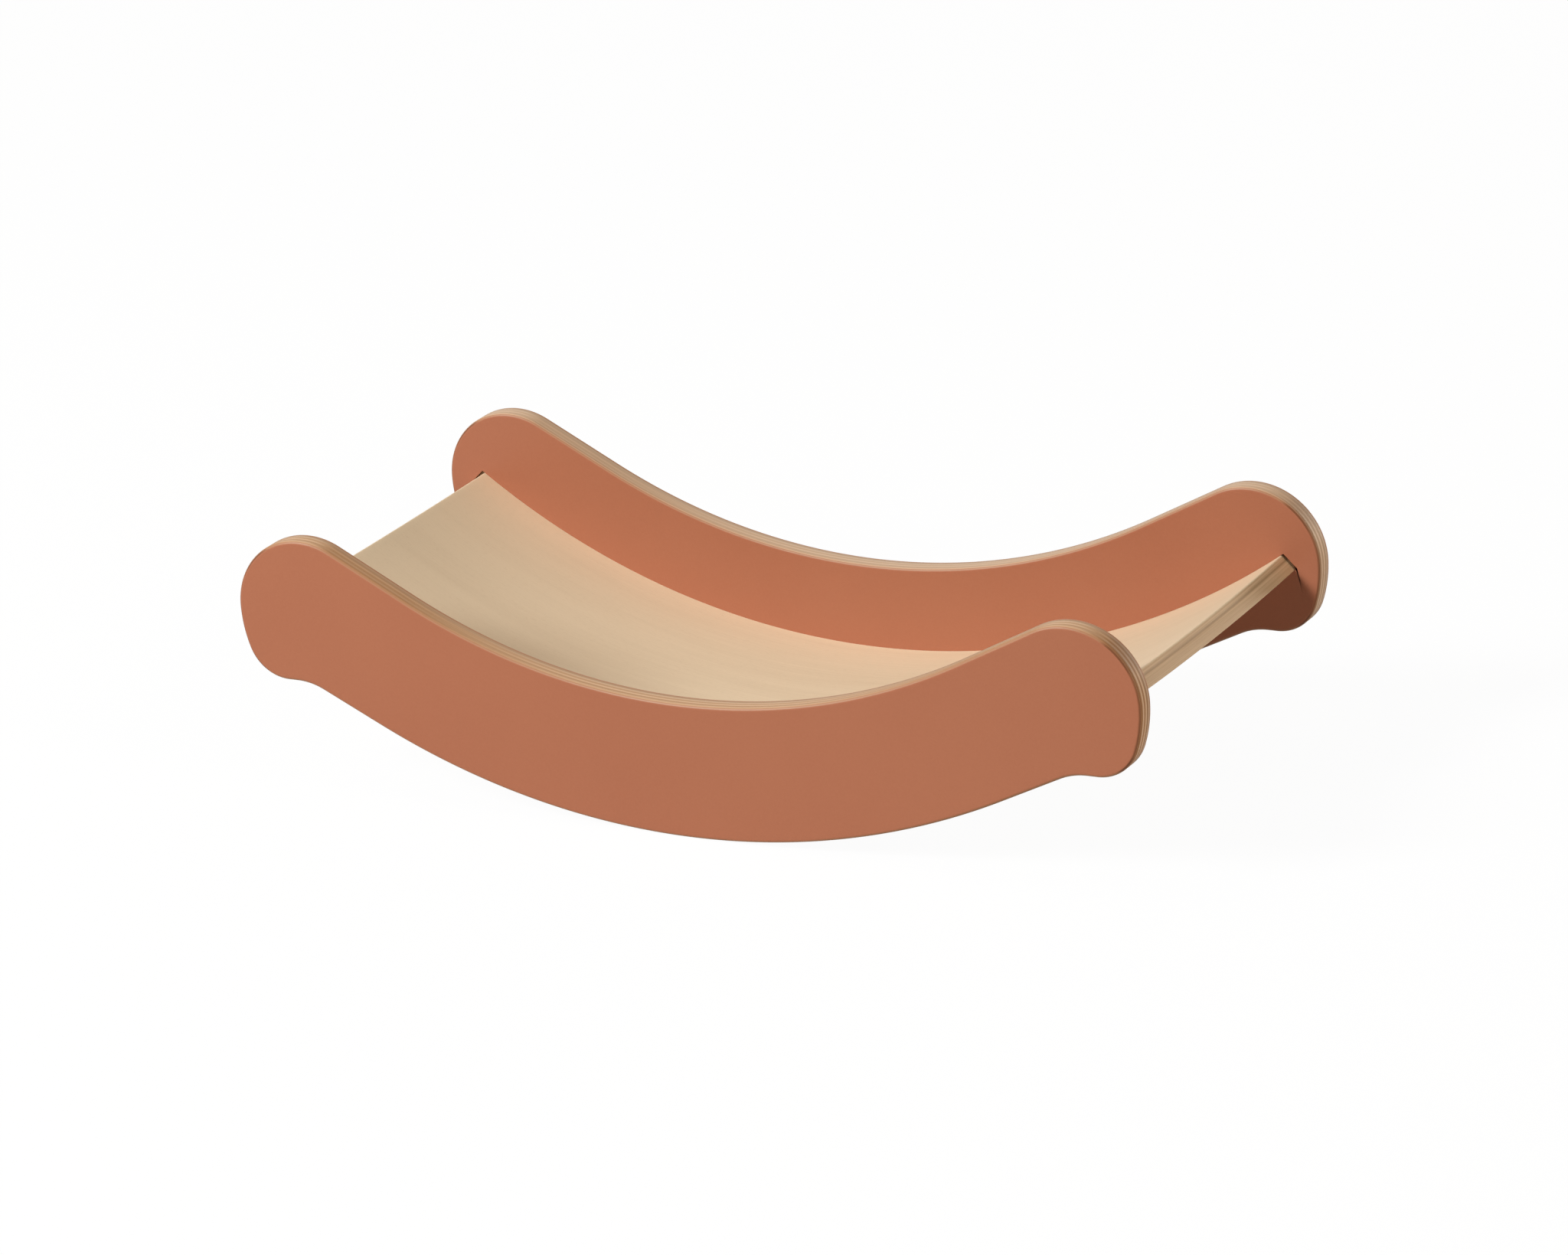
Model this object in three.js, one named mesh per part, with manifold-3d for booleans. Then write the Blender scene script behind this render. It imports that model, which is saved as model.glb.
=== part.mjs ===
// A rocking balance board for children: two rocker-shaped plywood side panels with coloured laminate on
// both faces, and a bent plywood deck that sits in a curved groove in each of them.
// Millimetres, +X along the board, +Y to the left of someone who stands on it facing +X, +Z up.
// The origin is on the floor, midway along and across the board.
import * as THREE from 'three';
import { mergeVertices } from 'three/addons/utils/BufferGeometryUtils.js';
import Module from 'manifold-3d';

const wasm = await Module();
wasm.setup();

// Overall sizes
const boardLength = 750;
const boardWidth = 338;
const boardHeight = 199.5;

// Side panels: a plywood core between two laminates, whose outer rims are chamfered
const panelThickness = 18;
const laminateThickness = 1;
const rimChamfer = 1;

// Outline of a side panel. Each end is a bulb, with a toe under it that draws in by the undercut.
// A level foot runs in from the toe to a blended corner, and a straight ramp from there to the rocker.
// A straight shoulder joins the bulb to the hollow top.
const bulbRadius = 57;
const toeRadius = 34;
const toeUndercut = 3.6;
const footBelowBulbCentre = 55.5;
const footRun = 19.5;
const footBlendRadius = 52;
const rampRun = 65;
const shoulderRun = 69;

// The middle of a panel, from the floor up: wood under the deck, the deck, and the guard above it
const webUnderDeck = 23.5;
const guardAboveDeck = 66.5;

// Deck: a thin sheet glued on a thick one, both bent, with ends that lean out and have their rims eased
const topSheetThickness = 5;
const bottomSheetThickness = 9.7;
const glueLine = 0.3;
const deckEndInset = 31.5;
const deckEndAboveBulbCentre = 6;
const deckEndLean = THREE.MathUtils.degToRad(10);
const deckEndChamfer = 1.5;

// Groove that houses the deck in each panel
const grooveDepth = 6;
const grooveClearance = 0.3;
const grooveEndClearance = 2.5;

// Hidden dowels that tie the deck to the panels
const dowelDiameter = 6;
const dowelInDeck = 21;
const dowelFromDeckEnd = 75;
const dowelEndWall = 2;
const dowelClearance = 0.3;
const dowelsPerSide = 5;

// Facets along each arc. The rocker has an odd number, so that it stands on a level one.
const rockerFacets = 25;
const footBlendFacets = 6;
const toeFacets = 8;
const flankFacets = 5;
const bulbFacets = 24;
const hollowFacets = 22;
const deckFacets = 36;
const dowelFacets = 24;

// How far a cutting solid runs past the face that it opens
const overrun = 5;

// Colours
const terracotta = '#b87459';
const birchEdge = '#c39b74';
const birchFace = '#dcc2a2';
const beech = '#c8a070';

const quarterTurn = Math.PI / 2;

// Heights that follow from the sizes above
const deckThickness = topSheetThickness + glueLine + bottomSheetThickness;
const deckTopHeight = webUnderDeck + deckThickness;
const hollowHeight = deckTopHeight + guardAboveDeck;
const bulbCentreHeight = boardHeight - bulbRadius;
const footHeight = bulbCentreHeight - footBelowBulbCentre;

// Places across the board
const innerFace = boardWidth / 2 - panelThickness;
const coreInnerFace = innerFace + laminateThickness;
const coreOuterFace = boardWidth / 2 - laminateThickness;
const grooveFloor = innerFace + grooveDepth;
const deckHalfWidth = grooveFloor - grooveClearance;

// Flank: the arc that stands upright where the bulb begins and runs on into the toe
const toeDrop = footBelowBulbCentre - toeRadius;
const flankRadius = toeRadius + toeUndercut / 2 + toeDrop ** 2 / (2 * toeUndercut);
const toeAngle = -Math.asin(toeDrop / (flankRadius - toeRadius));
const bulbCentre = new THREE.Vector2(boardLength / 2 - bulbRadius, bulbCentreHeight);
const flankCentre = new THREE.Vector2(boardLength / 2 - flankRadius, bulbCentreHeight);
const toeCentre = new THREE.Vector2(boardLength / 2 - toeRadius - toeUndercut, footHeight + toeRadius);

// Rocker: the arc that touches the floor in the middle and the ramp's far end
const footCorner = new THREE.Vector2(toeCentre.x - footRun, footHeight);
const rockerRadius = (footCorner.lengthSq() - rampRun ** 2) / (2 * footHeight);
const rockerCentre = new THREE.Vector2(0, rockerRadius);
const rockerAngle = quarterTurn + Math.atan2(footHeight - rockerRadius, footCorner.x)
  - Math.atan2(rampRun, rockerRadius);
const blendCentre = new THREE.Vector2(
  footCorner.x + footBlendRadius * Math.tan(rockerAngle / 2),
  footHeight - footBlendRadius,
);

// Hollow top: the arc that dips to its height in the middle and touches the two shoulders
const bulbAboveHollow = bulbCentreHeight - hollowHeight;
const hollowRadius = (bulbCentre.x ** 2 + bulbAboveHollow ** 2 - bulbRadius ** 2 - shoulderRun ** 2)
  / (2 * (bulbRadius + bulbAboveHollow));
const hollowCentre = new THREE.Vector2(0, hollowHeight + hollowRadius);
const shoulderSlope = Math.atan2(bulbCentre.y - hollowCentre.y, bulbCentre.x)
  + Math.atan2(hollowRadius + bulbRadius, shoulderRun);

// Deck: its top face dips to the middle and reaches its ends beside the bulbs' centres
const deckHalfSpan = boardLength / 2 - deckEndInset;
const deckRise = bulbCentreHeight + deckEndAboveBulbCentre - deckTopHeight;
const deckRadius = (deckHalfSpan ** 2 + deckRise ** 2) / (2 * deckRise);
const deckHalfAngle = Math.asin(deckHalfSpan / deckRadius);
const deckCentre = new THREE.Vector2(0, deckTopHeight + deckRadius);

// The point at an angle on a circle
function polar(centre, radius, angle) {
  return new THREE.Vector2(Math.cos(angle), Math.sin(angle)).multiplyScalar(radius).add(centre);
}

// Points along an arc, both ends included
function arcPoints(centre, radius, startAngle, endAngle, facets) {
  return Array.from({ length: facets + 1 }, (unused, index) => (
    polar(centre, radius, THREE.MathUtils.lerp(startAngle, endAngle, index / facets))
  ));
}

// The same points on the other side of the middle, in the opposite order
function mirrored(points) {
  return points.map((point) => new THREE.Vector2(-point.x, point.y)).reverse();
}

// A panel's outline in X and Z, anticlockwise from the rocker's left end. An inset moves all of it
// inwards by one distance: arcs that bulge out get smaller, hollow ones larger, and their centres stay.
function panelOutline(inset) {
  const rocker = arcPoints(rockerCentre, rockerRadius - inset, -quarterTurn - rockerAngle,
    -quarterTurn + rockerAngle, rockerFacets);
  const footBlend = arcPoints(blendCentre, footBlendRadius + inset, quarterTurn + rockerAngle,
    quarterTurn, footBlendFacets);
  const toe = arcPoints(toeCentre, toeRadius - inset, -quarterTurn, toeAngle, toeFacets);
  const flank = arcPoints(flankCentre, flankRadius - inset, toeAngle, 0, flankFacets);
  const bulb = arcPoints(bulbCentre, bulbRadius - inset, 0, quarterTurn + shoulderSlope, bulbFacets);
  const hollow = arcPoints(hollowCentre, hollowRadius + inset, -quarterTurn + shoulderSlope,
    -quarterTurn - shoulderSlope, hollowFacets);
  // Flank and bulb start where the arc before them ends, so that point is kept once
  const end = [...footBlend, ...toe, ...flank.slice(1), ...bulb.slice(1)];
  return [...rocker, ...end, ...hollow, ...mirrored(end)];
}

// Half the angle that the deck spans, at some depth below its top face. Its ends lean outwards.
function deckAngleAt(depth) {
  return deckHalfAngle + Math.atan2(depth * Math.tan(deckEndLean), deckRadius + depth);
}

// An outline in X and Z that bends with the deck, from a list of the corners of its right end, bottom
// first. A corner has a depth below the deck's top face, and lies beyond the deck's end by its reach.
function bentOutline(corners) {
  const ends = corners.map(({ depth, reach }) => {
    const radius = deckRadius + depth;
    return { radius, angle: deckAngleAt(depth) + reach / radius };
  });
  const arcBetweenEnds = ({ radius, angle }) => (
    arcPoints(deckCentre, radius, -quarterTurn - angle, -quarterTurn + angle, deckFacets)
  );
  const bottom = arcBetweenEnds(ends[0]);
  const top = arcBetweenEnds(ends[ends.length - 1]).reverse();
  const side = ends.slice(1, -1).map(({ radius, angle }) => polar(deckCentre, radius, angle - quarterTurn));
  return [...bottom, ...side, ...top, ...mirrored(side)];
}

// An outline in X and Z, extruded along Y between two places
function prism(outline, startY, endY) {
  const shape = new THREE.Shape(outline);
  const geometry = new THREE.ExtrudeGeometry(shape, { depth: endY - startY, bevelEnabled: false });
  return geometry.rotateX(quarterTurn).translate(0, endY, 0);
}

// A plate between two outlines with as many points, at two places along Y
function taperedPlate(startOutline, startY, endOutline, endY) {
  const count = startOutline.length;
  const positions = [
    ...startOutline.flatMap((point) => [point.x, startY, point.y]),
    ...endOutline.flatMap((point) => [point.x, endY, point.y]),
  ];
  const triangles = [];
  for (const [a, b, c] of THREE.ShapeUtils.triangulateShape(startOutline, [])) {
    triangles.push(a, b, c, count + c, count + b, count + a);
  }
  for (let index = 0; index < count; index += 1) {
    const next = (index + 1) % count;
    triangles.push(index, count + next, next, index, count + index, count + next);
  }
  const geometry = new THREE.BufferGeometry();
  geometry.setAttribute('position', new THREE.Float32BufferAttribute(positions, 3));
  return geometry.setIndex(triangles);
}

// A round bar along Y, round a point in X and Z, between two distances out from the middle on one side
function barOn(side, point, radius, innerPlace, outerPlace) {
  const geometry = new THREE.CylinderGeometry(radius, radius, outerPlace - innerPlace, dowelFacets);
  return geometry.translate(point.x, side * (innerPlace + outerPlace) / 2, point.y);
}

// A prism between two distances out from the middle, on one side of the board
function prismOn(side, outline, innerPlace, outerPlace) {
  return prism(outline, ...[side * innerPlace, side * outerPlace].sort((a, b) => a - b));
}

// A three.js geometry as a solid that can be cut
function toSolid(geometry) {
  const bare = geometry.clone();
  bare.deleteAttribute('normal');
  bare.deleteAttribute('uv');
  const merged = mergeVertices(bare);
  return new wasm.Manifold(new wasm.Mesh({
    numProp: 3,
    vertProperties: new Float32Array(merged.attributes.position.array),
    triVerts: new Uint32Array(merged.index.array),
  }));
}

// A piece less everything that is cut out of it, as a three.js geometry again
function cut(geometry, cutters) {
  const solid = cutters.reduce((left, cutter) => left.subtract(toSolid(cutter)), toSolid(geometry));
  const mesh = solid.getMesh();
  const result = new THREE.BufferGeometry();
  result.setAttribute('position', new THREE.BufferAttribute(mesh.vertProperties, mesh.numProp));
  result.setIndex(new THREE.BufferAttribute(mesh.triVerts, 1));
  result.computeVertexNormals();
  return result;
}

// Where the dowels stand, in X and Z: evenly along the middle of the deck's thick sheet
const dowelArcRadius = deckRadius + deckThickness - bottomSheetThickness / 2;
const dowelArcAngle = deckHalfAngle - dowelFromDeckEnd / deckRadius;
const dowelPlaces = arcPoints(deckCentre, dowelArcRadius, -quarterTurn - dowelArcAngle,
  -quarterTurn + dowelArcAngle, dowelsPerSide - 1);
const dowelInnerEnd = grooveFloor - dowelInDeck;
const dowelOuterEnd = coreOuterFace - dowelEndWall;

// The holes for a side's dowels, which run through the groove's floor from the deck into the panel
function dowelHoles(side) {
  return dowelPlaces.map((place) => barOn(side, place, dowelDiameter / 2 + dowelClearance,
    dowelInnerEnd - dowelClearance, dowelOuterEnd + dowelClearance));
}

// What the groove takes out of a side's panel: the deck's shape, with room round it
function grooveCutter(side) {
  const outline = bentOutline([
    { depth: deckThickness + grooveClearance, reach: grooveEndClearance },
    { depth: -grooveClearance, reach: grooveEndClearance },
  ]);
  return prismOn(side, outline, innerFace - overrun, grooveFloor);
}

function panelCore(side) {
  const plate = prismOn(side, panelOutline(0), coreInnerFace, coreOuterFace);
  return cut(plate, [grooveCutter(side), ...dowelHoles(side)]);
}

// A laminate between the core and the face that shows, narrower at that face by the rim's chamfer
function laminate(side, gluedPlace, shownPlace) {
  const glued = { y: side * gluedPlace, outline: panelOutline(0) };
  const shown = { y: side * shownPlace, outline: panelOutline(rimChamfer) };
  const [start, end] = glued.y < shown.y ? [glued, shown] : [shown, glued];
  return taperedPlate(start.outline, start.y, end.outline, end.y);
}

function outerLaminate(side) {
  return laminate(side, coreOuterFace, boardWidth / 2);
}

function innerLaminate(side) {
  return cut(laminate(side, coreInnerFace, innerFace), [grooveCutter(side)]);
}

function deckTopSheet() {
  const outline = bentOutline([
    { depth: topSheetThickness, reach: 0 },
    { depth: deckEndChamfer, reach: 0 },
    { depth: 0, reach: -deckEndChamfer },
  ]);
  return prism(outline, -deckHalfWidth, deckHalfWidth);
}

function deckBottomSheet() {
  const outline = bentOutline([
    { depth: deckThickness, reach: -deckEndChamfer },
    { depth: deckThickness - deckEndChamfer, reach: 0 },
    { depth: topSheetThickness + glueLine, reach: 0 },
  ]);
  return cut(prism(outline, -deckHalfWidth, deckHalfWidth), [...dowelHoles(-1), ...dowelHoles(1)]);
}

// Lowered so that the level facet in the middle of each rocker lies on the floor
const board = new THREE.Group();
board.position.z = -rockerRadius * (1 - Math.cos(rockerAngle / rockerFacets));

function addPiece(name, geometry, color, roughness) {
  const mesh = new THREE.Mesh(geometry, new THREE.MeshStandardMaterial({ color, roughness, metalness: 0 }));
  mesh.name = name;
  board.add(mesh);
}

for (const [sideName, side] of [['right', -1], ['left', 1]]) {
  addPiece(`${sideName}_panel_core`, panelCore(side), birchEdge, 0.6);
  addPiece(`${sideName}_outer_laminate`, outerLaminate(side), terracotta, 0.5);
  addPiece(`${sideName}_inner_laminate`, innerLaminate(side), terracotta, 0.5);
  dowelPlaces.forEach((place, index) => {
    const dowel = barOn(side, place, dowelDiameter / 2, dowelInnerEnd, dowelOuterEnd);
    addPiece(`${sideName}_dowel_${index + 1}`, dowel, beech, 0.7);
  });
}
addPiece('deck_top_sheet', deckTopSheet(), birchFace, 0.55);
addPiece('deck_bottom_sheet', deckBottomSheet(), birchFace, 0.55);

const part = new THREE.Group();
part.add(board);

export default part;
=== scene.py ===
# %% [markdown]
# A rocking balance board for a child
#
# The board is two rocker-shaped plywood panels with coloured laminate on both faces, and a bent deck that
# sits in a curved groove in each of them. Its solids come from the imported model, whose arcs are made of
# facets. This lesson keeps that model where it is, lays finer surfaces over the solids that show, and
# gives each surface the finish of the real one. Everything is in metres, with +X along the board,
# +Y from the right panel to the left one, and +Z up. The board's right end is the one at +X.

import bmesh
import bpy
import numpy as np
from mathutils import Matrix, Vector


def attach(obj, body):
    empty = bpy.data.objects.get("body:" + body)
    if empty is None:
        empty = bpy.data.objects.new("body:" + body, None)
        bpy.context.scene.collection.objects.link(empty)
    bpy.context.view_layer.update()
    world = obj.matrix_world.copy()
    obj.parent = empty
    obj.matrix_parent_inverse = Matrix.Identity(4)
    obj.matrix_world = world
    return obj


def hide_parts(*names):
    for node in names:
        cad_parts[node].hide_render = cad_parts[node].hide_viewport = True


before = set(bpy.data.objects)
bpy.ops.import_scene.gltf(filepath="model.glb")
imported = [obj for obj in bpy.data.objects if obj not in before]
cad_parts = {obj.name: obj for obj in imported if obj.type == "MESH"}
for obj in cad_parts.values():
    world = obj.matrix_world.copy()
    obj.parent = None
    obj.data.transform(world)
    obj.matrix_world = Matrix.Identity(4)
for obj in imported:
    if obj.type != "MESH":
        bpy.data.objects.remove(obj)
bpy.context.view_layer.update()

# %% [markdown]
# The camera
#
# The picture to match was taken from the front right, a little above the board. The camera's direction
# could be set by eye, but the board's own arcs give it more exactly: their ends and middles fix two
# angles, a slight roll and the distance. The camera's three axes are worked out from those angles and
# put into its matrix, which avoids any doubt about the order of turns.

# %% Camera from two angles, a roll and a distance
camera_azimuth = np.radians(28.76)
camera_elevation = np.radians(19.50)
camera_roll = np.radians(-3.93)
camera_distance = 5.26
camera_aside = -0.00717
camera_above = 0.10042
lens_length = 159.14
film_width = 36.0
farthest_sight = 60.0


def camera_axes(azimuth, elevation, roll):
    """Directions to the camera's right, up and back. Back points from the board to the camera: it swings
    round by the azimuth and rises by the elevation. Right and up then turn about it by the roll."""
    back = np.array([
        np.sin(azimuth) * np.cos(elevation),
        -np.cos(azimuth) * np.cos(elevation),
        np.sin(elevation),
    ])
    level_right = np.array([np.cos(azimuth), np.sin(azimuth), 0.0])
    level_up = np.cross(back, level_right)
    right = level_right * np.cos(roll) + level_up * np.sin(roll)
    up = level_up * np.cos(roll) - level_right * np.sin(roll)
    return right, up, back


right, up, back = camera_axes(camera_azimuth, camera_elevation, camera_roll)
camera_place = right * camera_aside + up * camera_above + back * camera_distance
camera = bpy.data.objects.new("photo_camera", bpy.data.cameras.new("photo_camera"))
camera.data.sensor_fit = "HORIZONTAL"
camera.data.sensor_width = film_width
camera.data.lens = lens_length
camera.data.clip_end = farthest_sight
camera_turn = Matrix(np.stack([right, up, back], axis=1).tolist()).to_4x4()
camera.matrix_world = Matrix.Translation(Vector(camera_place)) @ camera_turn
bpy.context.collection.objects.link(camera)
bpy.context.scene.camera = camera
print("camera stands at", camera_place.round(3))

# %% [markdown]
# The sizes
#
# The finer surfaces have to lie where the solids are, so they start from the same sizes. Reading them
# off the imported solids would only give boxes; repeating the named sizes keeps each arc exact.

# %% Sizes of the board
board_length = 0.750
board_width = 0.338
board_height = 0.1995
panel_thickness = 0.018
laminate_thickness = 0.001

bulb_radius = 0.057
toe_radius = 0.034
toe_undercut = 0.0036
foot_below_bulb_centre = 0.0555
foot_run = 0.0195
foot_blend_radius = 0.052
ramp_run = 0.065
shoulder_run = 0.069

web_under_deck = 0.0235
guard_above_deck = 0.0665
top_sheet_thickness = 0.005
bottom_sheet_thickness = 0.0097
glue_line = 0.0003
deck_end_inset = 0.0315
deck_end_above_bulb_centre = 0.006
deck_end_lean = np.radians(10.0)

groove_depth = 0.006
groove_clearance = 0.0003
groove_end_clearance = 0.0025
glue_squeeze_gap = 0.00004

quarter_turn = np.pi / 2
outer_face = board_width / 2
inner_face = outer_face - panel_thickness
panel_middle = outer_face - panel_thickness / 2
core_inner_face = inner_face + laminate_thickness
core_outer_face = outer_face - laminate_thickness
groove_floor = inner_face + groove_depth
deck_half_width = groove_floor - groove_clearance
deck_thickness = top_sheet_thickness + glue_line + bottom_sheet_thickness
print("panel faces at", inner_face, "and", outer_face, "deck", deck_thickness, "thick")

# %% [markdown]
# The panel's outline
#
# Each end of a panel is a bulb with a toe below it; the foot under the toe runs into a straight ramp and
# the rocker, and a straight shoulder runs from the bulb to the hollow top. It could be drawn as a spline
# through points, but real panels are routed along a template of straight runs and arcs that touch each
# other smoothly. So the outline is made of those arcs, and the straight runs are what lies between them.

# %% Centres and radii of the panel's arcs
bulb_centre = np.array([board_length / 2 - bulb_radius, board_height - bulb_radius])
foot_height = bulb_centre[1] - foot_below_bulb_centre
toe_drop = foot_below_bulb_centre - toe_radius
flank_radius = toe_radius + toe_undercut / 2 + toe_drop ** 2 / (2 * toe_undercut)
toe_angle = -np.arcsin(toe_drop / (flank_radius - toe_radius))
flank_centre = np.array([board_length / 2 - flank_radius, bulb_centre[1]])
toe_centre = np.array([board_length / 2 - toe_radius - toe_undercut, foot_height + toe_radius])

foot_corner = np.array([toe_centre[0] - foot_run, foot_height])
rocker_radius = (foot_corner @ foot_corner - ramp_run ** 2) / (2 * foot_height)
rocker_centre = np.array([0.0, rocker_radius])
rocker_angle = (quarter_turn + np.arctan2(foot_height - rocker_radius, foot_corner[0])
                - np.arctan2(ramp_run, rocker_radius))
blend_centre = np.array([
    foot_corner[0] + foot_blend_radius * np.tan(rocker_angle / 2),
    foot_height - foot_blend_radius,
])

deck_top_height = web_under_deck + deck_thickness
hollow_height = deck_top_height + guard_above_deck
bulb_above_hollow = bulb_centre[1] - hollow_height
hollow_radius = ((bulb_centre[0] ** 2 + bulb_above_hollow ** 2 - bulb_radius ** 2 - shoulder_run ** 2)
                 / (2 * (bulb_radius + bulb_above_hollow)))
hollow_centre = np.array([0.0, hollow_height + hollow_radius])
shoulder_slope = (np.arctan2(bulb_centre[1] - hollow_centre[1], bulb_centre[0])
                  + np.arctan2(hollow_radius + bulb_radius, shoulder_run))
print("rocker radius", round(rocker_radius, 4), "hollow radius", round(hollow_radius, 4))

# %% Arcs, and lines through them
arc_samples = 240
step_length = 0.004
step_turn = np.radians(2.5)


def arc(centre, radius, start, end, bulge=1):
    """Points on a circle and the directions out of the wood there. A point is the centre plus the radius
    times (cosine, sine) of an angle that runs evenly from start to end. On an arc that bulges out of the
    wood the outward direction is that spoke, and on a hollow one, with bulge -1, it is the opposite."""
    angle = np.linspace(start, end, arc_samples)
    spoke = np.stack([np.cos(angle), np.sin(angle)], axis=1)
    return centre + radius * spoke, bulge * spoke


def edge_line(arcs, half_count):
    """A line from the board's right end to its left end, through arcs that lead from that end to the
    middle, and their mirror image. Travel along it counts length and turning together, and the points
    stand at even steps of travel, so tight arcs get more of them. Returns points and outward directions."""
    points = np.concatenate([place for place, outward in arcs])
    outward = np.concatenate([direction for place, direction in arcs])
    length = np.linalg.norm(np.diff(points, axis=0), axis=1)
    turn = np.linalg.norm(np.diff(outward, axis=0), axis=1)
    travel = np.concatenate([[0.0], np.cumsum(length / step_length + turn / step_turn)])
    stops = np.linspace(0.0, travel[-1], half_count + 1)
    both = np.concatenate([points, outward], axis=1)
    half = np.stack([np.interp(stops, travel, column) for column in both.T], axis=1)
    half[:, 2:] /= np.linalg.norm(half[:, 2:], axis=1, keepdims=True)
    mirrored = half[-2::-1] * np.array([-1.0, 1.0, -1.0, 1.0])
    line = np.concatenate([half, mirrored])
    return line[:, :2], line[:, 2:]


half_count = 150
upper_arcs = [
    arc(bulb_centre, bulb_radius, 0.0, quarter_turn + shoulder_slope),
    arc(hollow_centre, hollow_radius, shoulder_slope - quarter_turn, -quarter_turn, bulge=-1),
]
lower_arcs = [
    arc(flank_centre, flank_radius, 0.0, toe_angle),
    arc(toe_centre, toe_radius, toe_angle, -quarter_turn),
    arc(blend_centre, foot_blend_radius, quarter_turn, quarter_turn + rocker_angle, bulge=-1),
    arc(rocker_centre, rocker_radius, rocker_angle - quarter_turn, -quarter_turn),
]
upper_line = edge_line(upper_arcs, half_count)
lower_line = edge_line(lower_arcs, half_count)
print("panel outline:", len(upper_line[0]), "points above and", len(lower_line[0]), "below")

# %% [markdown]
# Closed shells from patches
#
# A panel could be one flat polygon with thickness, but such a face shades badly and has no room for a
# rounded rim. Instead each piece is sewn from patches. A patch is a grid of points, a surface of two
# parameters, and where two patches meet they share their points, so merging them closes the shell. Its
# faces are shaded smooth, apart from the corners sharper than 40 degrees.

# %% Patches into a mesh
merge_distance = 1e-6
sharp_corner = np.radians(40)


def between(first, last, rows):
    """A patch between two lines with as many points: row by row, first plus a rising share of the way
    to last."""
    share = np.linspace(0.0, 1.0, rows + 1)[:, None, None]
    return first[None] * (1 - share) + last[None] * share


def patch_faces(rows, columns, start):
    """The quads of a patch whose points are numbered row by row from start."""
    corner = start + np.arange(rows - 1)[:, None] * columns + np.arange(columns - 1)[None]
    return np.stack([corner, corner + 1, corner + columns + 1, corner + columns], axis=-1).reshape(-1, 4)


def sew(name, patches):
    """One closed shell from patches that meet at their borders, with its faces outwards."""
    starts = np.cumsum([0] + [patch[..., 0].size for patch in patches])
    points = np.concatenate([patch.reshape(-1, 3) for patch in patches])
    quads = np.concatenate([
        patch_faces(*patch.shape[:2], start) for patch, start in zip(patches, starts)
    ])
    mesh = bpy.data.meshes.new(name)
    mesh.from_pydata(points.tolist(), [], quads.tolist())
    shell = bmesh.new()
    shell.from_mesh(mesh)
    bmesh.ops.remove_doubles(shell, verts=shell.verts, dist=merge_distance)
    bmesh.ops.dissolve_degenerate(shell, edges=shell.edges, dist=merge_distance)
    bmesh.ops.recalc_face_normals(shell, faces=shell.faces)
    open_edges = sum(1 for edge in shell.edges if len(edge.link_faces) != 2)
    shell.to_mesh(mesh)
    shell.free()
    mesh.shade_smooth()
    mesh.set_sharp_from_angle(angle=sharp_corner)
    piece = bpy.data.objects.new(name, mesh)
    bpy.context.collection.objects.link(piece)
    print(name, "has", len(mesh.vertices), "points,", len(mesh.polygons), "faces,", open_edges, "open edges")
    return piece


def on_board(flat_points, place_across):
    """Points in X and Z put at a place across the board."""
    across = np.full(len(flat_points), place_across)
    return np.stack([flat_points[:, 0], across, flat_points[:, 1]], axis=1)


def inset_line(line, inset):
    """A line moved into the wood: each point less the inset times its outward direction."""
    points, outward = line
    return points - inset * outward


print("points closer than", merge_distance, "m become one")

# %% [markdown]
# The groove in a panel's inner face
#
# A router cuts the groove along the deck's own arc, and longer than the deck. The solids leave room for
# glue all round, but on the real board the glue has filled it, so here the groove hugs the deck and stays
# open only at its ends. Its border is needed by three patches: the face round it, its walls and its
# floor. Its upper and lower halves have as many points as the panel's upper and lower lines, so that a
# face can run from one to the other.

# %% The deck's arc and the groove's border
deck_half_span = board_length / 2 - deck_end_inset
deck_rise = bulb_centre[1] + deck_end_above_bulb_centre - deck_top_height
deck_radius = (deck_half_span ** 2 + deck_rise ** 2) / (2 * deck_rise)
deck_half_angle = np.arcsin(deck_half_span / deck_radius)
deck_centre_height = deck_top_height + deck_radius


def bent_place(angle, depth):
    """A place on the deck's bend: on a circle whose radius is the deck's plus the depth below its top
    face, at an angle from the board's middle."""
    radius = deck_radius + depth
    return np.stack([radius * np.sin(angle), deck_centre_height - radius * np.cos(angle)], axis=-1)


def deck_angle_at(depth):
    """Half the angle that the deck spans at a depth below its top face. Its ends lean outwards."""
    return deck_half_angle + np.arctan2(depth * np.tan(deck_end_lean), deck_radius + depth)


end_columns = 24
end_steps = 4


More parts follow.
